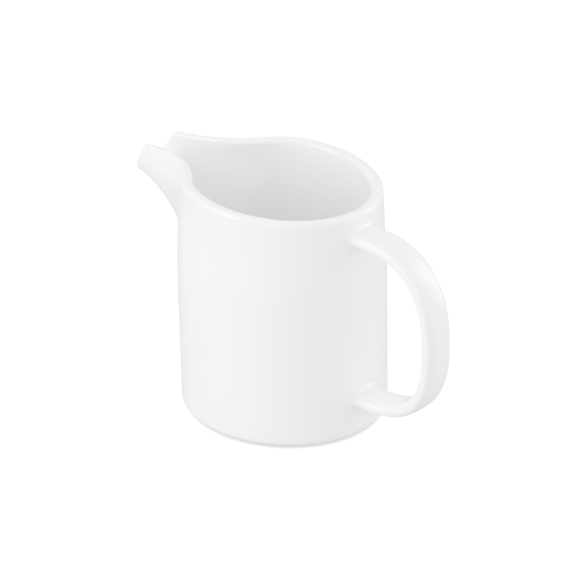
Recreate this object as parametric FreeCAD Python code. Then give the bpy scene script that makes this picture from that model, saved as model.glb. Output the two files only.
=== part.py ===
import FreeCAD, Part
import math
import os

os.makedirs("parts", exist_ok=True)

V = FreeCAD.Vector

# A porcelain cream jug. Millimetres, +Z up, handle towards +X, spout towards -X.
# The origin is on the body's axis, in the plane that the foot stands on.

# Body
HALF_LENGTH = 36.0        # half the oval plan along X, outside
HALF_WIDTH = 33.0         # half the oval plan along Y, outside
RIM_HEIGHT = 82.9         # rim above the table, on the body's axis
RIM_RISE = 2.0            # how far the rim rises from the axis to the spout side
WALL = 4.2                # wall thickness
FLOOR_TOP = 6.0           # inside floor above the table
LIP_R = 1.15              # rounding of both edges of the lip
BASE_EDGE_R = 2.4         # rounding where the wall turns under
FLOOR_CORNER_R = 6.0      # rounding where the inside wall meets the floor

# Foot ring
FOOT_HEIGHT = 1.0
FOOT_INSET = 2.8          # from the body's outline to the foot's outline
FOOT_WIDTH = 3.0

# Spout
SEAM_RIM_ANGLE = 63.0     # half the part of the rim that the spout takes up, in degrees of the oval
SEAM_SIDE_ANGLE = 38.0    # the same further down, before the seam flares out along the rim
SEAM_FLARE_POWER = 12     # a higher power flares out closer to the rim
SEAM_ROOT_Z = 42.0        # lowest point of the seam, under the spout
TIP_TOP_REACH = 55.3      # axis to the spout's top corners
TIP_TOP_Z = 81.5
TIP_HALF_WIDTH = 8.1
TIP_WALL = 2.4            # the wall thins towards the tip
LIP_REACH = 63.4          # axis to the pouring lip, at the bottom of the channel
LIP_Z = 68.3
CHANNEL_POWER = 2.5       # 2 is a half ellipse, more is squarer
UNDERSIDE_SLOPE = 4.0     # degrees that the underside still climbs at the lip
TOP_SLOPE = -5.4          # degrees that the top edge climbs at the tip
TIP_TAPER = 2.4           # degrees that each side still narrows at the tip
RIM_PULLS = (0.265, 0.66)  # share of each edge curve that stays on the wall's line and on the tip's line
ROOT_PULLS = (0.30, 0.12)  # the same for the curve under the spout
SPOUT_COLUMNS = 32        # curves that the spout's surface is drawn through
SPOUT_ROWS = 12           # points along each curve

# Handle
HANDLE_REACH = 30.1       # body wall to the strap's centre line, at its widest
HANDLE_TOP_Z = 72.6
HANDLE_WIDE_Z = 42.5
HANDLE_BOTTOM_Z = 14.7
HANDLE_TOP_POWER = 2.4    # 2 is a quarter ellipse, more is squarer
HANDLE_BOTTOM_POWER = 2.58
HANDLE_RUN = 3.5          # straight run of the strap outside the wall, at each end
STRAP_WIDTH = 11.8
STRAP_THICKNESS = 4.8
STRAP_EDGE_R = 2.0
HANDLE_STEPS = 20         # points along the bow
HANDLE_ROOT = 3.0         # strap drawn this far inside the wall's outline, then trimmed to it
SLIP_FILLET_R = 2.4       # joining slip around each end of the strap
ON_WALL = 1e-4            # how far from the oval's equation a point on the wall may be


def rim_z(x):
    return RIM_HEIGHT - RIM_RISE * x / HALF_LENGTH


def oval_point(angle, inset, z):
    """A point on the wall's plan, by the angle from the spout, moved in along the wall's normal."""
    x = -HALF_LENGTH * math.cos(angle)
    y = -HALF_WIDTH * math.sin(angle)
    normal = V(x / HALF_LENGTH ** 2, y / HALF_WIDTH ** 2, 0)
    normal.normalize()
    return V(x, y, z) - normal * inset


def oval_prism(inset, z_low, z_high):
    """A solid oval, its outline moved in by the inset."""
    ellipse = Part.Ellipse(V(0, 0, z_low), HALF_LENGTH - inset, HALF_WIDTH - inset)
    face = Part.Face(Part.Wire(ellipse.toShape()))
    face.rotate(V(0, 0, 0), V(0, 0, 1), 180)
    return face.extrude(V(0, 0, z_high - z_low))


def above_rim():
    """Everything above the tilted plane of the rim."""
    reach = 2 * LIP_REACH
    corners = [V(-reach, -reach, rim_z(-reach)), V(reach, -reach, rim_z(reach)),
               V(reach, reach, rim_z(reach)), V(-reach, reach, rim_z(-reach))]
    face = Part.Face(Part.makePolygon(corners + corners[:1]))
    return face.extrude(V(0, 0, reach))


def edges_near(shape, test):
    return [edge for edge in shape.Edges if test(edge)]


def make_full_wall():
    """The wall and floor all round, before the spout's place is cut out."""
    tall = RIM_HEIGHT + 2 * RIM_RISE
    outside = oval_prism(0, FOOT_HEIGHT, tall).cut(above_rim())
    bottom = edges_near(outside, lambda e: e.BoundBox.ZMax < FLOOR_TOP)
    outside = outside.makeFillet(BASE_EDGE_R, bottom)
    inside = oval_prism(WALL, FLOOR_TOP, tall)
    corner = edges_near(inside, lambda e: e.BoundBox.ZMax < 2 * FLOOR_TOP)
    inside = inside.makeFillet(FLOOR_CORNER_R, corner)
    wall = outside.cut(inside)
    rim = edges_near(wall, lambda e: e.BoundBox.ZMin > RIM_HEIGHT - 2 * RIM_RISE and e.Length > HALF_LENGTH)
    return wall.makeFillet(LIP_R, rim)


def seam_angle(turn):
    """The seam's place round the oval. The turn runs from -90 degrees at one end to 90 at the other."""
    flare = (SEAM_RIM_ANGLE - SEAM_SIDE_ANGLE) * abs(math.sin(turn)) ** SEAM_FLARE_POWER
    return math.radians(SEAM_SIDE_ANGLE + flare) * math.sin(turn)


def seam_point(turn, inset):
    """The seam between wall and spout."""
    angle = seam_angle(turn)
    depth = (RIM_HEIGHT - SEAM_ROOT_Z) * math.cos(turn)
    return oval_point(angle, inset, rim_z(oval_point(angle, 0, 0).x) - depth)


def tip_point(turn, inset):
    """The slanting open end of the channel."""
    side = abs(math.sin(turn)) ** (2 / CHANNEL_POWER)
    down = max(math.cos(turn), 0.0) ** (2 / CHANNEL_POWER)
    z = TIP_TOP_Z - (TIP_TOP_Z - LIP_Z - inset) * down
    reach = TIP_TOP_REACH + (LIP_REACH - TIP_TOP_REACH) * (TIP_TOP_Z - z) / (TIP_TOP_Z - LIP_Z)
    return V(-reach, math.copysign(side, -turn) * (TIP_HALF_WIDTH - inset), z)


def spout_curve(turn, seam_inset, tip_inset):
    """The four control points of the curve that runs from the seam to the tip."""
    low = max(math.cos(turn), 0.0)
    high = 1 - low
    angle = seam_angle(turn)
    along_wall = V(HALF_LENGTH * math.sin(angle), -HALF_WIDTH * math.cos(angle), 0)
    along_wall.normalize()
    leave = along_wall * -math.sin(turn) + V(0, 0, low)
    leave.normalize()
    climb = math.radians(UNDERSIDE_SLOPE * low + TOP_SLOPE * high)
    arrive = V(-math.cos(climb), math.tan(math.radians(TIP_TAPER)) * math.sin(turn), math.sin(climb))
    arrive.normalize()
    start = seam_point(turn, seam_inset)
    end = tip_point(turn, tip_inset)
    span = (end - start).Length
    pull_out = span * (ROOT_PULLS[0] * low + RIM_PULLS[0] * high)
    pull_in = span * (ROOT_PULLS[1] * low + RIM_PULLS[1] * high)
    return start, start + leave * pull_out, end - arrive * pull_in, end


def spout_turns():
    """Even steps along the seam, from one end to the other."""
    return [math.pi * (i / SPOUT_COLUMNS - 0.5) for i in range(SPOUT_COLUMNS + 1)]


def spout_sheet(seam_inset, tip_inset):
    """One side of the spout's wall as a smooth surface."""
    rows = []
    for turn in spout_turns():
        p0, p1, p2, p3 = spout_curve(turn, seam_inset, tip_inset)
        row = []
        for j in range(SPOUT_ROWS + 1):
            v = j / SPOUT_ROWS
            w = 1 - v
            row.append(p0 * w ** 3 + p1 * (3 * w * w * v) + p2 * (3 * w * v * v) + p3 * v ** 3)
        rows.append(row)
    surface = Part.BSplineSurface()
    surface.interpolate(rows)
    return surface


def make_spout():
    """The two sheets joined by a strip along each of their four edges."""
    outer = spout_sheet(0, 0)
    inner = spout_sheet(WALL, TIP_WALL)
    faces = [outer.toShape(), inner.toShape()]
    first_u, last_u, first_v, last_v = outer.bounds()
    pairs = [(outer.uIso(first_u), inner.uIso(inner.bounds()[0])),
             (outer.uIso(last_u), inner.uIso(inner.bounds()[1])),
             (outer.vIso(first_v), inner.vIso(inner.bounds()[2])),
             (outer.vIso(last_v), inner.vIso(inner.bounds()[3]))]
    for edge_a, edge_b in pairs:
        faces.append(Part.makeRuledSurface(edge_a.toShape(), edge_b.toShape()))
    shell = Part.Shell(faces)
    shell.sewShape()
    solid = Part.Solid(shell)
    if solid.Volume < 0:
        solid.reverse()
    return solid


def edge_middle(edge):
    return edge.valueAt((edge.FirstParameter + edge.LastParameter) / 2)


def is_spout_lip(edge):
    """True for the long edges of the spout's wall, and not for the seam or the corners."""
    middle = edge_middle(edge)
    if edge.Length < 2 * WALL:
        return False
    return middle.z > RIM_HEIGHT - RIM_RISE or middle.x < -HALF_LENGTH - WALL


def make_seam_block():
    """Everything above the seam, for as far as the spout takes the wall's place."""
    reach = 2 * WALL
    edges = []
    for inset in (-reach, WALL + reach):
        curve = Part.BSplineCurve()
        curve.interpolate([seam_point(turn, inset) for turn in spout_turns()])
        edges.append(curve.toShape())
    sheet = Part.makeRuledSurface(edges[0], edges[1])
    return sheet.extrude(V(0, 0, RIM_HEIGHT))


def handle_path_point(turn):
    """The strap's centre line: two quarter superellipses, turn running from 90 degrees at the top to -90."""
    top = turn >= 0
    power = HANDLE_TOP_POWER if top else HANDLE_BOTTOM_POWER
    rise = HANDLE_TOP_Z - HANDLE_WIDE_Z if top else HANDLE_BOTTOM_Z - HANDLE_WIDE_Z
    out = (HANDLE_REACH - HANDLE_RUN) * max(math.cos(turn), 0.0) ** (2 / power)
    up = rise * abs(math.sin(turn)) ** (2 / power)
    return V(HALF_LENGTH + HANDLE_RUN + out, 0, HANDLE_WIDE_Z + up)


def strap_stub(length, x, z):
    """A straight length of strap along X, starting at x, with its centre at height z."""
    bar = Part.makeBox(length, STRAP_WIDTH, STRAP_THICKNESS, V(x, -STRAP_WIDTH / 2, z - STRAP_THICKNESS / 2))
    return bar.makeFillet(STRAP_EDGE_R, edges_near(bar, lambda e: e.BoundBox.XLength > length / 2))


def make_handle():
    """The strap: a straight run out of the wall, the bow, and a straight run back, trimmed to the wall."""
    points = [handle_path_point(math.pi * (0.5 - i / HANDLE_STEPS)) for i in range(HANDLE_STEPS + 1)]
    bow = Part.BSplineCurve()
    bow.interpolate(Points=points, InitialTangent=V(1, 0, 0), FinalTangent=V(-1, 0, 0))
    inward = V(HANDLE_RUN + HANDLE_ROOT, 0, 0)
    path = Part.Wire([Part.makeLine(points[0] - inward, points[0]), bow.toShape(),
                      Part.makeLine(points[-1], points[-1] - inward)])
    stub = strap_stub(HANDLE_RUN, HALF_LENGTH - HANDLE_ROOT, HANDLE_TOP_Z)
    section = min(stub.Faces, key=lambda f: f.CenterOfMass.x).OuterWire
    strap = path.makePipeShell([section], True, False)
    return strap.cut(oval_prism(0, 0, RIM_HEIGHT))


def make_slip(z):
    """The concave ring of joining slip around the strap where it leaves the wall at height z."""
    wall = oval_prism(0, z - STRAP_WIDTH, z + STRAP_WIDTH)
    stub = strap_stub(HANDLE_ROOT + 3 * SLIP_FILLET_R, HALF_LENGTH - HANDLE_ROOT, z)
    joined = wall.fuse(stub)
    roots = edges_near(joined, lambda e: is_strap_root(edge_middle(e), z))
    return joined.makeFillet(SLIP_FILLET_R, roots).cut(wall).cut(stub).Solids[0]


def is_strap_root(point, z):
    on_wall = abs((point.x / HALF_LENGTH) ** 2 + (point.y / HALF_WIDTH) ** 2 - 1) < ON_WALL
    return on_wall and point.x > 0 and abs(point.y) < STRAP_WIDTH and abs(point.z - z) < STRAP_THICKNESS


def make_foot():
    return oval_prism(FOOT_INSET, 0, FOOT_HEIGHT).cut(oval_prism(FOOT_INSET + FOOT_WIDTH, 0, FOOT_HEIGHT))


def make_parts():
    spout = make_spout()
    return {
        "vessel_body": make_full_wall().cut(make_seam_block()),
        "foot_ring": make_foot(),
        "pouring_spout": spout.makeFillet(LIP_R, edges_near(spout, is_spout_lip)),
        "strap_handle": make_handle(),
        "upper_handle_slip": make_slip(HANDLE_TOP_Z),
        "lower_handle_slip": make_slip(HANDLE_BOTTOM_Z),
    }


for node, shape in make_parts().items():
    shape.Solids[0].exportStep("parts/" + node + ".step")
    print(node, shape.isValid(), len(shape.Solids), round(shape.Volume, 1))
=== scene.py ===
import math

import bpy
import numpy as np
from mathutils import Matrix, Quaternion, Vector


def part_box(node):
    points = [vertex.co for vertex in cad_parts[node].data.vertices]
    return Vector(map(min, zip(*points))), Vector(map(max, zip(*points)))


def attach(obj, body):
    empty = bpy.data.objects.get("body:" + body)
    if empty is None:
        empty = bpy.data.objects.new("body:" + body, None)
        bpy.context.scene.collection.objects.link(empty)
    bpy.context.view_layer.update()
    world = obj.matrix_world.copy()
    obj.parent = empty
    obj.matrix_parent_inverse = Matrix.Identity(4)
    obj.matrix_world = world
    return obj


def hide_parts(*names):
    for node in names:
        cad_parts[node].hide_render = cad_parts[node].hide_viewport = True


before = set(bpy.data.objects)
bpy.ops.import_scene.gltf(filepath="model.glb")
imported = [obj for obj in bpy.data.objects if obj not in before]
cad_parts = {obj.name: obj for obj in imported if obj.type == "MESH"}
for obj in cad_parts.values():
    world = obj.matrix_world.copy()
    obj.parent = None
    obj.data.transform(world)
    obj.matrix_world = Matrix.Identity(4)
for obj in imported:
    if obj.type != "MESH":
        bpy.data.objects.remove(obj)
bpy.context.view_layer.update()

# The porcelain cream jug. Metres, +Z up, handle towards +X, spout towards -X, as in the CAD model.
MM = 0.001
ROOT = "root"

# Where the CAD pieces lie
body_low, body_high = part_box("vessel_body")
strap_low, strap_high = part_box("strap_handle")
foot_low, foot_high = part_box("foot_ring")
upper_low, upper_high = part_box("upper_handle_slip")
lower_low, lower_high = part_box("lower_handle_slip")

HALF_LENGTH = body_high.x
HALF_WIDTH = body_high.y
BASE_Z = body_low.z

# Body
WALL = 4.2 * MM
RIM_HEIGHT = 82.9 * MM      # top of the lip on the body's axis
RIM_RISE = 2.0 * MM         # how far the rim rises from the axis to the spout side
LIP_RISE = 1.8 * MM         # height of the rounded lip above the straight part of the wall
TUCK_LENGTH = 0.6 * MM      # how far the wall leans in at the rim, at the ends of the oval
TUCK_WIDTH = 1.9 * MM       # the same at its sides
TUCK_START_Z = 45 * MM      # the wall is upright below this height
SQUEEZE = np.array([TUCK_LENGTH / HALF_LENGTH, TUCK_WIDTH / HALF_WIDTH])    # the lean as shares of the half sizes
BASE_EDGE_R = 2.4 * MM      # rounding where the wall turns under
FLOOR_TOP = 6 * MM
FLOOR_CORNER_R = 6 * MM     # rounding where the inside wall meets the floor

# Spout
SEAM_RIM_ANGLE = math.radians(63)       # half the part of the rim that the spout takes up
SEAM_SIDE_ANGLE = math.radians(38)      # the same further down, before the seam flares out
SEAM_FLARE_POWER = 12       # a higher power flares out closer to the rim
SEAM_ROOT_Z = 42 * MM       # about where the seam is lowest, under the spout
TIP_TOP_REACH = 54.75 * MM  # the tip's top corners
TIP_TOP_Z = 81.5 * MM
TIP_HALF_WIDTH = 8.1 * MM
TIP_WALL = 2.4 * MM         # the wall thins towards the tip
TIP_LIP_RISE = 1.1 * MM
LIP_REACH = 62.7 * MM       # the pouring lip, the lowest point of the tip
LIP_Z = 68.3 * MM
CHANNEL_POWER = 2.5         # 2 is an oval channel, more is squarer
UNDERSIDE_SLOPE = math.radians(4)
TOP_SLOPE = math.radians(-5.4)
TIP_TAPER = math.radians(2.4)
RIM_PULLS = (0.265, 0.66)   # share of the span that keeps to the wall's line and to the tip's line, along the top
ROOT_PULLS = (0.30, 0.12)   # the same along the underside

# Handle
HANDLE_TOP_Z = (upper_low.z + upper_high.z) / 2
HANDLE_BOTTOM_Z = (lower_low.z + lower_high.z) / 2
HANDLE_WIDE_Z = 42.5 * MM   # height where the handle stands out furthest
HANDLE_RUN = 3.5 * MM       # straight run at each end
HANDLE_TOP_POWER = 2.4      # squareness of the upper and of the lower bend
HANDLE_BOTTOM_POWER = 2.58
STRAP_WIDTH = strap_high.y - strap_low.y
STRAP_THICKNESS = 4.8 * MM
STRAP_POWER = 3.0           # squareness of the strap's section
STRAP_WAIST = 0.04          # how much narrower the strap is half way round, as a share
SLIP_R = (upper_high.y - upper_low.y - STRAP_WIDTH) / 2     # radius of the concave joint

# Foot ring
FOOT_WIDTH = 3 * MM
FOOT_EDGE_R = 0.4 * MM

# Mesh density
SPOUT_COLUMNS = 96
WALL_COLUMNS = 144
WALL_ROWS = 64
SPOUT_ROWS = 48
LIP_STEPS = 10
ROUND_STEPS = 10
FLAT_RINGS = 8
STRAP_SAMPLES = 400         # points on the centre line before they are spaced evenly
STRAP_ROWS = 160
STRAP_RUN_ROWS = 8
STRAP_SIDES = 64
SLIP_STEPS = 10
FOOT_COLUMNS = 192

# Softening at the tip's top corners, and of the direction in which the lip stands
CORNER_SOFTEN = 3 * MM
CORNER_PASSES = 6
LIP_PASSES = 4

# Camera. Azimuth 0 looks along +Y, angles in degrees
VIEW_AZIMUTH = 43.0
VIEW_ELEVATION = 26.4
CAMERA_DISTANCE = 990 * MM
CAMERA_LENS_MM = 188.8
SENSOR_MM = 36.0
CAMERA_CLIP = (0.05, 20.0)  # nearest and farthest distance that is drawn
CAMERA_ROLL = math.radians(1.13)
AIM_RIGHT = 0.9 * MM        # from the middle of the body to the middle of the picture
AIM_UP = 1.9 * MM

# Stage. The camera sees the floor and the world as white paper, and they light the jug more dimly
FLOOR_SIZE = 4.0
FLOOR_GLOW = 0.34
WORLD_STRENGTH = 0.67
PAPER_WHITE = 1.06
CONTACT_REACH = 1.5 * MM    # how far the contact shadow spreads from the foot
CONTACT_SHADE = 0.45        # how light the paper stays at its darkest
SHADE_FULL = 0.1            # how open the ground is where the shadow is darkest, and where it ends
SHADE_NONE = 0.8

# Softboxes: degrees round from the camera's side, width in metres, power in watts
KEY_SOFTBOX = (-70, 0.5, 3.8)
FRONT_SOFTBOX = (0, 0.8, 1.4)
FILL_SOFTBOX = (105, 0.5, 3.2)
SOFTBOX_HEIGHT = 1.0
SOFTBOX_DISTANCE = 1.0
SOFTBOX_ELEVATION = 15.0

# Picture
DISPLAY_GAMMA = 1.8         # holds the highlights back, so that the inside stays light
INSIDE_BOUNCES = 10         # light reaches the white inside over many bounces


# ---------------------------------------------------------------- mesh helpers

def unit(vectors):
    """The same directions with length 1."""
    return vectors / np.maximum(np.linalg.norm(vectors, axis=-1, keepdims=True), 1e-12)


def smooth_step(t):
    """0 below 0, 1 above 1, and an S-shaped curve between."""
    t = np.clip(t, 0, 1)
    return t * t * (3 - 2 * t)


class Skin:
    """Vertices and faces gathered piece by piece."""

    def __init__(self):
        self.points = []
        self.faces = []
        self.tags = []

    def add(self, grid):
        """Adds a grid of points, and returns their numbers in a grid of the same shape."""
        grid = np.asarray(grid, float)
        first = sum(len(p) for p in self.points)
        self.points.append(grid.reshape(-1, 3))
        return first + np.arange(grid[..., 0].size).reshape(grid.shape[:-1])

    def quads(self, rows, closed, tag):
        """Joins neighbouring rows of point numbers with four-sided faces."""
        count = rows.shape[1] if closed else rows.shape[1] - 1
        for low, high in zip(rows[:-1], rows[1:]):
            for i in range(count):
                j = (i + 1) % rows.shape[1]
                self.faces.append((low[i], low[j], high[j], high[i]))
                self.tags.append(tag)

    def fan(self, ring, centre, tag):
        """Joins a closed ring to one point with triangles."""
        for i in range(len(ring)):
            self.faces.append((centre, ring[(i + 1) % len(ring)], ring[i]))
            self.tags.append(tag)

    def polygon(self, ring, tag):
        """Closes a ring with one flat face."""
        self.faces.append(tuple(ring))
        self.tags.append(tag)

    def array(self):
        """All the points so far, one to a row."""
        return np.concatenate(self.points)


def vertex_normals(points, faces):
    """Area-weighted normals of a mesh of triangles and four-sided faces."""
    corners = np.array([tuple(f[:4]) if len(f) > 3 else (f[0], f[1], f[2], f[2]) for f in faces])
    a, b, c, d = (points[corners[:, k]] for k in range(4))
    face_normals = np.cross(c - a, d - b)
    normals = np.zeros_like(points)
    for k in range(4):
        np.add.at(normals, corners[:, k], face_normals)
    return unit(normals)


def relax(points, faces, weight, passes):
    """Moves each point part of the way to the middle of its neighbours, by its weight."""
    pairs = np.array([(f[i], f[(i + 1) % len(f)]) for f in faces for i in range(len(f))])
    pairs = np.unique(np.sort(pairs, axis=1), axis=0)
    count = np.zeros(len(points))
    np.add.at(count, pairs[:, 0], 1)
    np.add.at(count, pairs[:, 1], 1)
    for _ in range(passes):
        total = np.zeros_like(points)
        np.add.at(total, pairs[:, 0], points[pairs[:, 1]])
        np.add.at(total, pairs[:, 1], points[pairs[:, 0]])
        middle = total / np.maximum(count, 1)[:, None]
        points = points + (middle - points) * (weight * 0.5)[:, None]
    return points


def nearness(points, places, radius):
    """1 at the given places, falling smoothly to 0 at the radius."""
    nearest = np.full(len(points), np.inf)
    for place in places:
        nearest = np.minimum(nearest, np.linalg.norm(points - place, axis=1))
    return smooth_step(1 - nearest / radius)


def make_piece(name, points, faces, normals, node, material):
    """One visible piece, which stands for a CAD node and moves with the jug."""
    used = sorted({i for f in faces for i in f})
    number = {old: new for new, old in enumerate(used)}
    mesh = bpy.data.meshes.new(name)
    mesh.from_pydata([tuple(points[i]) for i in used], [], [[number[i] for i in f] for f in faces])
    mesh.validate()
    mesh.polygons.foreach_set("use_smooth", [True] * len(mesh.polygons))
    if normals is not None:
        mesh.normals_split_custom_set_from_vertices([tuple(normals[i]) for i in used])
    mesh.materials.append(material)
    piece = bpy.data.objects.new(name, mesh)
    bpy.context.scene.collection.objects.link(piece)
    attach(piece, ROOT)
    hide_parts(node)
    return piece


# ---------------------------------------------------------------- the body and the spout

def rim_z(x):
    """Height of the top of the rim, which rises towards the spout."""
    return RIM_HEIGHT - RIM_RISE * x / HALF_LENGTH


def oval(angle, inset):
    """Points on the plan, by the angle from the spout, moved in along the wall's normal."""
    x = -HALF_LENGTH * np.cos(angle)
    y = -HALF_WIDTH * np.sin(angle)
    normal = unit(np.stack([x / HALF_LENGTH ** 2, y / HALF_WIDTH ** 2], -1))
    return np.stack([x, y], -1) - normal * np.asarray(inset)[..., None]


def lift(plan, z):
    """Points of the plan at a height."""
    return np.concatenate([plan, np.broadcast_to(z, plan.shape[:-1])[..., None]], -1)


def lean(z):
    """How much of the wall's inward lean it has reached at this height."""
    return smooth_step((z - TUCK_START_Z) / (RIM_HEIGHT - TUCK_START_Z))


def lean_slope(z):
    """How fast the lean grows with height."""
    t = np.clip((z - TUCK_START_Z) / (RIM_HEIGHT - TUCK_START_Z), 0, 1)
    return 6 * t * (1 - t) / (RIM_HEIGHT - TUCK_START_Z)


def wall_point(angle, inset, z):
    """A point on the wall at this height, moved in along the wall's normal."""
    plan = oval(angle, inset)
    return lift(plan * (1 - SQUEEZE * lean(z + 0 * angle)[..., None]), z)


def wall_up(angle, z):
    """The upward direction along the leaning wall."""
    plan = oval(angle, 0)
    slope = plan * -SQUEEZE * lean_slope(z)[..., None]
    return unit(np.concatenate([slope, np.ones(plan.shape[:-1] + (1,))], -1))


def wall_top(angle):
    """Height where the straight part of the wall ends under the lip."""
    return rim_z(-HALF_LENGTH * np.cos(angle)) - LIP_RISE


def seam_line(u):
    """Angle and height of the seam between wall and spout. u runs from -1 at one end to 1 at the other."""
    turn = np.pi * u / 2
    flare = (SEAM_RIM_ANGLE - SEAM_SIDE_ANGLE) * np.abs(np.sin(turn)) ** SEAM_FLARE_POWER
    angle = (SEAM_SIDE_ANGLE + flare) * np.sin(turn)
    depth = (RIM_HEIGHT - SEAM_ROOT_Z) * np.maximum(np.cos(turn), 0)
    return angle, wall_top(angle) - depth


def columns():
    """The angles of the wall's columns, all round, and the seam or lip height at each."""
    u = np.linspace(-1, 1, SPOUT_COLUMNS + 1)
    spout_angle, spout_top = seam_line(u)
    rest = np.linspace(SEAM_RIM_ANGLE, 2 * np.pi - SEAM_RIM_ANGLE, WALL_COLUMNS + 1)[1:-1]
    return np.concatenate([spout_angle, rest]), np.concatenate([spout_top, wall_top(rest)])


def tip_line(u, inset):
    """The slanting open end of the channel, less the rounded lip."""
    turn = np.pi * u / 2
    side = np.abs(np.sin(turn)) ** (2 / CHANNEL_POWER)
    down = np.maximum(np.cos(turn), 0) ** (2 / CHANNEL_POWER)
    top = TIP_TOP_Z - TIP_LIP_RISE
    z = top - (top - LIP_Z - inset) * down
    slant = (LIP_REACH - TIP_TOP_REACH) / (TIP_TOP_Z - LIP_Z)
    reach = TIP_TOP_REACH + slant * (TIP_TOP_Z - z) - TIP_LIP_RISE
    return np.stack([-reach, -np.sign(u) * side * (TIP_HALF_WIDTH - inset), z], -1)


def spout_sheet(u, inset, tip_inset):
    """Rows of points from the seam to the tip, each column a cubic curve."""
    turn = np.pi * u / 2
    low = np.maximum(np.cos(turn), 0)
    high = 1 - low
    angle, z = seam_line(u)
    along = unit(np.stack([HALF_LENGTH * np.sin(angle), -HALF_WIDTH * np.cos(angle), 0 * u], -1))
    leave = unit(along * -np.sin(turn)[:, None] + wall_up(angle, z) * low[:, None])
    climb = UNDERSIDE_SLOPE * low + TOP_SLOPE * high
    arrive = unit(np.stack([-np.cos(climb), math.tan(TIP_TAPER) * np.sin(turn), np.sin(climb)], -1))
    start = wall_point(angle, inset, z)
    end = tip_line(u, tip_inset)
    span = np.linalg.norm(end - start, axis=1)
    pull_out = (span * (ROOT_PULLS[0] * low + RIM_PULLS[0] * high))[:, None]
    pull_in = (span * (ROOT_PULLS[1] * low + RIM_PULLS[1] * high))[:, None]
    v = (np.arange(1, SPOUT_ROWS + 1) / SPOUT_ROWS)[:, None, None]
    w = 1 - v
    first = start + leave * pull_out
    second = end - arrive * pull_in
    return start * w ** 3 + first * (3 * w * w * v) + second * (3 * w * v * v) + end * v ** 3


def sheet_rows(inset, flat_z, round_r, angles, tops):
    """Rows of one side of the wall: the flat bottom, the rounded corner and the upright wall."""
    rows = []
    for k in range(1, FLAT_RINGS + 1):
        rows.append(lift(oval(angles, inset + round_r) * (k / FLAT_RINGS), flat_z))
    for k in range(1, ROUND_STEPS + 1):
        turn = np.pi / 2 * k / ROUND_STEPS
        rows.append(lift(oval(angles, inset + round_r * (1 - np.sin(turn))),
                         flat_z + round_r * (1 - np.cos(turn))))
    for k in range(1, WALL_ROWS + 1):
        z = flat_z + round_r + (tops - flat_z - round_r) * k / WALL_ROWS
        rows.append(wall_point(angles, inset, z))
    return np.array(rows)


def lip_rows(outer, inner):
    """Half-oval rows that close the gap between the outer and inner edge of the mouth."""
    middle = (outer + inner) / 2
    half = (outer - inner) / 2
    ahead = np.roll(middle, -1, axis=0) - np.roll(middle, 1, axis=0)
    edge_way = unit(np.cross(half, ahead))
    for _ in range(LIP_PASSES):
        edge_way = unit(np.roll(edge_way, -1, axis=0) + 2 * edge_way + np.roll(edge_way, 1, axis=0))
    thin = (WALL - 2 * np.linalg.norm(half, axis=1, keepdims=True)) / (WALL - TIP_WALL)
    rise = LIP_RISE + (TIP_LIP_RISE - LIP_RISE) * np.clip(thin, 0, 1)
    rows = []
    for k in range(1, LIP_STEPS):
        turn = np.pi * k / LIP_STEPS
        rows.append(middle + half * np.cos(turn) + edge_way * (rise * np.sin(turn)))
    return np.array(rows)


def build_vessel():
    """The body and the spout as one smooth skin: its points, its normals and the faces of the two closed pieces."""
    skin = Skin()
    angles, tops = columns()
    u = np.linspace(-1, 1, SPOUT_COLUMNS + 1)
    mouths = []
    seams = []
    for inset, tip_inset, flat_z, round_r, way in ((0, 0, BASE_Z, BASE_EDGE_R, 1),
                                                   (WALL, TIP_WALL, FLOOR_TOP, FLOOR_CORNER_R, -1)):
        wall = skin.add(sheet_rows(inset, flat_z, round_r, angles, tops))
        centre = skin.add(np.array([[0, 0, flat_z]]))[0]
        seam = wall[-1, :SPOUT_COLUMNS + 1]
        spout = np.vstack([seam, skin.add(spout_sheet(u, inset, tip_inset))])
        skin.fan(wall[0, ::way], centre, "body")
        skin.quads(wall[:, ::way], True, "body")
        skin.quads(spout[:, ::way], False, "spout")
        seams.append(seam)
        tip_and_edges = (spout[:, 0], spout[-1, 1:-1], spout[:0:-1, -1])
        mouths.append(np.concatenate([wall[-1, SPOUT_COLUMNS:], *tip_and_edges]))
    points = skin.array()
    lip = skin.add(lip_rows(points[mouths[0]], points[mouths[1]]))
    band = np.vstack([mouths[0], lip, mouths[1]])
    skin.quads(band[:, :WALL_COLUMNS + 1], False, "body")
    skin.quads(np.hstack([band[:, WALL_COLUMNS:], band[:, :1]]), False, "spout")
    surface = len(skin.faces)
    joint = np.vstack(seams)
    for tag, way in (("body", 1), ("spout", -1)):
        skin.quads(joint[:, ::way], False, tag)
        skin.polygon(band[::way, 0], tag)
        skin.polygon(band[::-way, WALL_COLUMNS], tag)
    points = skin.array()
    corners = [points[spout[-1, k]] for k in (0, -1)]
    points = relax(points, skin.faces[:surface], nearness(points, corners, CORNER_SOFTEN), CORNER_PASSES)
    normals = vertex_normals(points, skin.faces[:surface])
    split = {tag: [f for f, t in zip(skin.faces, skin.tags) if t == tag] for tag in ("body", "spout")}
    return points, normals, split


# ---------------------------------------------------------------- the handle

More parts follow.
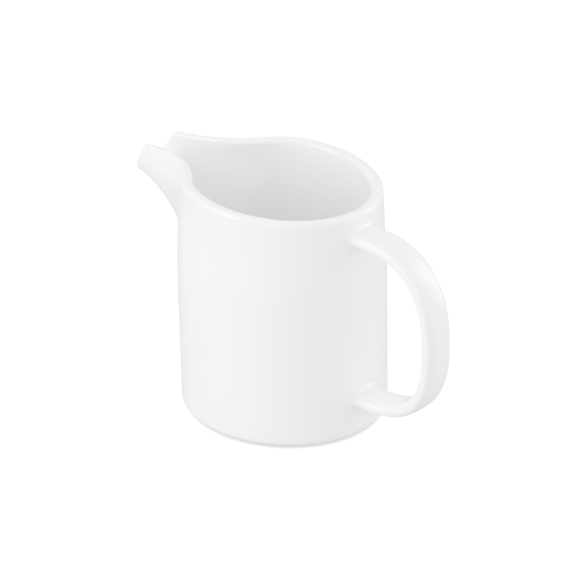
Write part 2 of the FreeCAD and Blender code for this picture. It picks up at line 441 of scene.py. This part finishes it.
def strap_centre(steps):
    """The strap's centre line from the upper end to the lower one, and its outward normals, in the XZ plane."""
    turn = np.linspace(np.pi / 2, -np.pi / 2, steps)
    power = np.where(turn >= 0, HANDLE_TOP_POWER, HANDLE_BOTTOM_POWER)
    rise = np.where(turn >= 0, HANDLE_TOP_Z, HANDLE_BOTTOM_Z) - HANDLE_WIDE_Z
    reach = strap_high.x - STRAP_THICKNESS / 2 - HALF_LENGTH - HANDLE_RUN
    x = HALF_LENGTH + HANDLE_RUN + reach * np.maximum(np.cos(turn), 0) ** (2 / power)
    z = HANDLE_WIDE_Z + rise * np.abs(np.sin(turn)) ** (2 / power)
    run = np.linspace(0, 1, STRAP_RUN_ROWS, endpoint=False) * HANDLE_RUN + HALF_LENGTH
    x = np.concatenate([run, x, run[::-1]])
    z = np.concatenate([0 * run + HANDLE_TOP_Z, z, 0 * run + HANDLE_BOTTOM_Z])
    along = unit(np.stack([np.gradient(x), np.gradient(z)], -1))
    return x, z, np.stack([-along[:, 1], along[:, 0]], -1)


def even_rows(x, z, normal, count):
    """The same line with evenly spaced points."""
    length = np.concatenate([[0], np.cumsum(np.hypot(np.diff(x), np.diff(z)))])
    even = np.linspace(0, length[-1], count)
    nx, nz = np.interp(even, length, normal[:, 0]), np.interp(even, length, normal[:, 1])
    return np.interp(even, length, x), np.interp(even, length, z), unit(np.stack([nx, nz], -1))


def strap_outline(width):
    """Half-width and half-thickness of the strap round its edge, as a squared-off oval."""
    turn = np.linspace(0, 2 * np.pi, STRAP_SIDES, endpoint=False)
    across = np.sign(np.cos(turn)) * np.abs(np.cos(turn)) ** (2 / STRAP_POWER) * width / 2
    through = np.sign(np.sin(turn)) * np.abs(np.sin(turn)) ** (2 / STRAP_POWER) * STRAP_THICKNESS / 2
    return across, through


def wall_x(y, z):
    """Where the wall's outer surface lies behind the handle."""
    length = HALF_LENGTH - TUCK_LENGTH * lean(z)
    width = HALF_WIDTH - TUCK_WIDTH * lean(z)
    return length * np.sqrt(1 - (y / width) ** 2)


def build_strap():
    """The strap swept round its centre line, with both ends cut to the wall's curve."""
    skin = Skin()
    x, z, normal = even_rows(*strap_centre(STRAP_SAMPLES), STRAP_ROWS)
    rows = []
    for k in range(STRAP_ROWS):
        share = k / (STRAP_ROWS - 1)
        width = STRAP_WIDTH * (1 - STRAP_WAIST * np.sin(np.pi * share))
        across, through = strap_outline(width)
        rows.append(np.stack([x[k] + through * normal[k, 0], across, z[k] + through * normal[k, 1]], -1))
    rows = np.array(rows)
    for end in (0, -1):
        rows[end, :, 0] = wall_x(rows[end, :, 1], rows[end, :, 2])
    numbers = skin.add(rows)
    skin.quads(numbers, True, "strap")
    surface = len(skin.faces)
    skin.polygon(numbers[0, ::-1], "strap")
    skin.polygon(numbers[-1], "strap")
    points = skin.array()
    return points, vertex_normals(points, skin.faces[:surface]), skin.faces


def build_slip(z):
    """The concave ring of glazed slip between the strap and the wall."""
    skin = Skin()
    across, through = strap_outline(STRAP_WIDTH)
    outline = np.stack([across, through], -1)
    ahead = np.roll(outline, -1, axis=0) - np.roll(outline, 1, axis=0)
    outward = unit(np.stack([ahead[:, 1], -ahead[:, 0]], -1))
    rows = []
    for k in range(SLIP_STEPS + 1):
        turn = np.pi / 2 * k / SLIP_STEPS
        place = outline + outward * (SLIP_R * (1 - np.cos(turn)))
        x = wall_x(place[:, 0], z + place[:, 1]) + SLIP_R * (1 - np.sin(turn))
        rows.append(np.stack([x, place[:, 0], z + place[:, 1]], -1))
    rows.append(np.stack([wall_x(across, z + through), across, z + through], -1))
    numbers = skin.add(np.array(rows))
    skin.quads(numbers[:SLIP_STEPS + 1, ::-1], True, "slip")
    surface = len(skin.faces)
    skin.quads(np.vstack([numbers[SLIP_STEPS:], numbers[:1]])[:, ::-1], True, "slip")
    points = skin.array()
    return points, vertex_normals(points, skin.faces[:surface]), skin.faces


# ---------------------------------------------------------------- the foot ring

def build_foot():
    """A ground ring with softly rounded edges."""
    skin = Skin()
    angle = np.linspace(0, 2 * np.pi, FOOT_COLUMNS, endpoint=False)
    inset = HALF_LENGTH - foot_high.x
    height = foot_high.z - foot_low.z
    profile = [(inset, height)]
    for middle, start in ((inset + FOOT_EDGE_R, 0), (inset + FOOT_WIDTH - FOOT_EDGE_R, 90)):
        for k in range(ROUND_STEPS + 1):
            turn = math.radians(start + 90 * k / ROUND_STEPS)
            profile.append((middle - FOOT_EDGE_R * math.cos(turn), FOOT_EDGE_R * (1 - math.sin(turn))))
    profile.append((inset + FOOT_WIDTH, height))
    rows = skin.add(np.array([lift(oval(angle, place), foot_low.z + z) for place, z in profile]))
    skin.quads(np.vstack([rows, rows[:1]])[:, ::-1], True, "foot")
    return skin.array(), None, skin.faces


# ---------------------------------------------------------------- materials

def new_material(name):
    """A material, its node tree and its shader."""
    material = bpy.data.materials.new(name)
    material.use_nodes = True
    tree = material.node_tree
    return material, tree, tree.nodes["Principled BSDF"]


def noise(tree, scale, detail, roughness=0.5):
    """Noise that is fixed to the object."""
    coordinates = tree.nodes.new("ShaderNodeTexCoord")
    node = tree.nodes.new("ShaderNodeTexNoise")
    node.inputs["Scale"].default_value = scale
    node.inputs["Detail"].default_value = detail
    node.inputs["Roughness"].default_value = roughness
    tree.links.new(coordinates.outputs["Object"], node.inputs["Vector"])
    return node.outputs["Fac"]


def ramp(tree, fac, stops):
    """A colour ramp from (position, colour) stops."""
    node = tree.nodes.new("ShaderNodeValToRGB")
    elements = node.color_ramp.elements
    for i, (position, colour) in enumerate(stops):
        element = elements[i] if i < 2 else elements.new(position)
        element.position = position
        element.color = (*colour, 1)
    tree.links.new(fac, node.inputs["Fac"])
    return node.outputs["Color"]


def bump(tree, height, distance, strength, below=None):
    """A surface relief, on top of the one below if there is one."""
    node = tree.nodes.new("ShaderNodeBump")
    node.inputs["Distance"].default_value = distance
    node.inputs["Strength"].default_value = strength
    tree.links.new(height, node.inputs["Height"])
    if below is not None:
        tree.links.new(below, node.inputs["Normal"])
    return node.outputs["Normal"]


def grey(value, warmth=0.0):
    """A grey that warmth turns slightly yellow."""
    return value, value - warmth * 0.3, value - warmth


def glazed_porcelain():
    """Clear glaze on white porcelain: faint clouds in the white, a soft ripple and orange peel in the gloss."""
    material, tree, shader = new_material("glazed_porcelain")
    clouds = noise(tree, 35, 4)
    tree.links.new(ramp(tree, clouds, [(0.3, grey(0.905, 0.004)), (0.7, grey(0.925, 0.002))]),
                   shader.inputs["Base Color"])
    gloss = noise(tree, 180, 3, 0.6)
    tree.links.new(ramp(tree, gloss, [(0.3, grey(0.12)), (0.7, grey(0.20))]), shader.inputs["Roughness"])
    ripple = bump(tree, noise(tree, 60, 2), 0.25 * MM, 0.35)
    tree.links.new(bump(tree, noise(tree, 900, 2), 0.03 * MM, 0.25, ripple), shader.inputs["Normal"])
    shader.inputs["IOR"].default_value = 1.5
    return material


def bare_porcelain():
    """Unglazed ground porcelain: dry, slightly warm and faintly speckled."""
    material, tree, shader = new_material("bare_porcelain")
    tree.links.new(ramp(tree, noise(tree, 1200, 6, 0.7), [(0.35, grey(0.70, 0.05)), (0.65, grey(0.80, 0.03))]),
                   shader.inputs["Base Color"])
    tree.links.new(ramp(tree, noise(tree, 700, 4), [(0.3, grey(0.6)), (0.7, grey(0.8))]), shader.inputs["Roughness"])
    tree.links.new(bump(tree, noise(tree, 2500, 4), 0.04 * MM, 0.5), shader.inputs["Normal"])
    return material


def show_to_camera(tree, seen, lighting, output_type):
    """Lets camera rays see one shader, while every other ray meets the other one."""
    rays = tree.nodes.new("ShaderNodeLightPath")
    mix = tree.nodes.new("ShaderNodeMixShader")
    output = next(node for node in tree.nodes if node.type == output_type)
    tree.links.new(rays.outputs["Is Camera Ray"], mix.inputs[0])
    tree.links.new(lighting, mix.inputs[1])
    tree.links.new(seen, mix.inputs[2])
    tree.links.new(mix.outputs[0], output.inputs["Surface"])


def studio_floor():
    """White paper with a thin contact shadow to the camera, and a dim pale floor to every other ray."""
    material, tree, shader = new_material("studio_floor")
    tree.links.new(ramp(tree, noise(tree, 3, 2), [(0.3, grey(0.25)), (0.7, grey(0.26))]), shader.inputs["Base Color"])
    shader.inputs["Roughness"].default_value = 0.9
    shader.inputs["Emission Color"].default_value = (1, 1, 1, 1)
    shader.inputs["Emission Strength"].default_value = FLOOR_GLOW
    contact = tree.nodes.new("ShaderNodeAmbientOcclusion")
    contact.inputs["Distance"].default_value = CONTACT_REACH
    shade = ramp(tree, contact.outputs["AO"], [(SHADE_FULL, grey(CONTACT_SHADE)), (SHADE_NONE, grey(1.0))])
    paper = tree.nodes.new("ShaderNodeEmission")
    paper.inputs["Strength"].default_value = PAPER_WHITE
    tree.links.new(shade, paper.inputs["Color"])
    show_to_camera(tree, paper.outputs[0], shader.outputs[0], "OUTPUT_MATERIAL")
    return material


# ---------------------------------------------------------------- stage, light and camera

def make_floor():
    """A flat square under the foot."""
    mesh = bpy.data.meshes.new("floor")
    s = FLOOR_SIZE / 2
    mesh.from_pydata([(-s, -s, 0), (s, -s, 0), (s, s, 0), (-s, s, 0)], [], [(0, 1, 2, 3)])
    mesh.materials.append(studio_floor())
    floor = bpy.data.objects.new("floor", mesh)
    bpy.context.scene.collection.objects.link(floor)


def direction(azimuth, elevation):
    """The way from the jug to something that looks at it from these angles, in degrees."""
    a, e = math.radians(azimuth), math.radians(elevation)
    return Vector((math.sin(a) * math.cos(e), -math.cos(a) * math.cos(e), math.sin(e)))


def make_softbox(name, around, width, power):
    """A rectangular light turned towards the jug."""
    light = bpy.data.lights.new(name, "AREA")
    light.shape = "RECTANGLE"
    light.size, light.size_y = width, SOFTBOX_HEIGHT
    light.energy = power
    lamp = bpy.data.objects.new(name, light)
    way = direction(VIEW_AZIMUTH + around, SOFTBOX_ELEVATION)
    lamp.location = Vector((0, 0, RIM_HEIGHT / 2)) + way * SOFTBOX_DISTANCE
    lamp.rotation_mode = "QUATERNION"
    lamp.rotation_quaternion = way.to_track_quat("Z", "Y")
    bpy.context.scene.collection.objects.link(lamp)


def make_world():
    """An even white sky, brighter to the camera than to the jug."""
    world = bpy.data.worlds.new("studio")
    bpy.context.scene.world = world
    world.use_nodes = True
    tree = world.node_tree
    background = tree.nodes["Background"]
    background.inputs["Color"].default_value = (1, 1, 1, 1)
    background.inputs["Strength"].default_value = WORLD_STRENGTH
    backdrop = tree.nodes.new("ShaderNodeBackground")
    backdrop.inputs["Color"].default_value = (1, 1, 1, 1)
    backdrop.inputs["Strength"].default_value = PAPER_WHITE
    show_to_camera(tree, backdrop.outputs[0], background.outputs[0], "OUTPUT_WORLD")


def make_camera():
    """A long lens, a little above the jug and between its side and its handle."""
    camera = bpy.data.cameras.new("camera")
    camera.lens = CAMERA_LENS_MM
    camera.sensor_width = SENSOR_MM
    camera.clip_start, camera.clip_end = CAMERA_CLIP
    rig = bpy.data.objects.new("camera", camera)
    back = direction(VIEW_AZIMUTH, VIEW_ELEVATION)
    turned = back.to_track_quat("Z", "Y")
    right, up = turned @ Vector((1, 0, 0)), turned @ Vector((0, 1, 0))
    aim = Vector((0, 0, RIM_HEIGHT / 2)) + right * AIM_RIGHT + up * AIM_UP
    rig.location = aim + back * CAMERA_DISTANCE
    rig.rotation_mode = "QUATERNION"
    rig.rotation_quaternion = turned @ Quaternion((0, 0, 1), -CAMERA_ROLL)
    bpy.context.scene.collection.objects.link(rig)
    bpy.context.scene.camera = rig


def main():
    """Builds the jug's six pieces, then the stage, the lights and the camera."""
    glaze = glazed_porcelain()
    points, normals, faces = build_vessel()
    make_piece("glazed_body", points, faces["body"], normals, "vessel_body", glaze)
    make_piece("glazed_spout", points, faces["spout"], normals, "pouring_spout", glaze)
    points, normals, faces = build_strap()
    make_piece("glazed_strap", points, faces, normals, "strap_handle", glaze)
    for name, z, node in (("upper_joint", HANDLE_TOP_Z, "upper_handle_slip"),
                          ("lower_joint", HANDLE_BOTTOM_Z, "lower_handle_slip")):
        points, normals, faces = build_slip(z)
        make_piece(name, points, faces, normals, node, glaze)
    points, normals, faces = build_foot()
    make_piece("bare_foot_ring", points, faces, normals, "foot_ring", bare_porcelain())
    make_floor()
    make_world()
    make_softbox("key_softbox", *KEY_SOFTBOX)
    make_softbox("front_softbox", *FRONT_SOFTBOX)
    make_softbox("fill_softbox", *FILL_SOFTBOX)
    bpy.context.scene.cycles.diffuse_bounces = INSIDE_BOUNCES
    bpy.context.scene.view_settings.view_transform = "Standard"
    bpy.context.scene.view_settings.gamma = DISPLAY_GAMMA
    make_camera()


main()
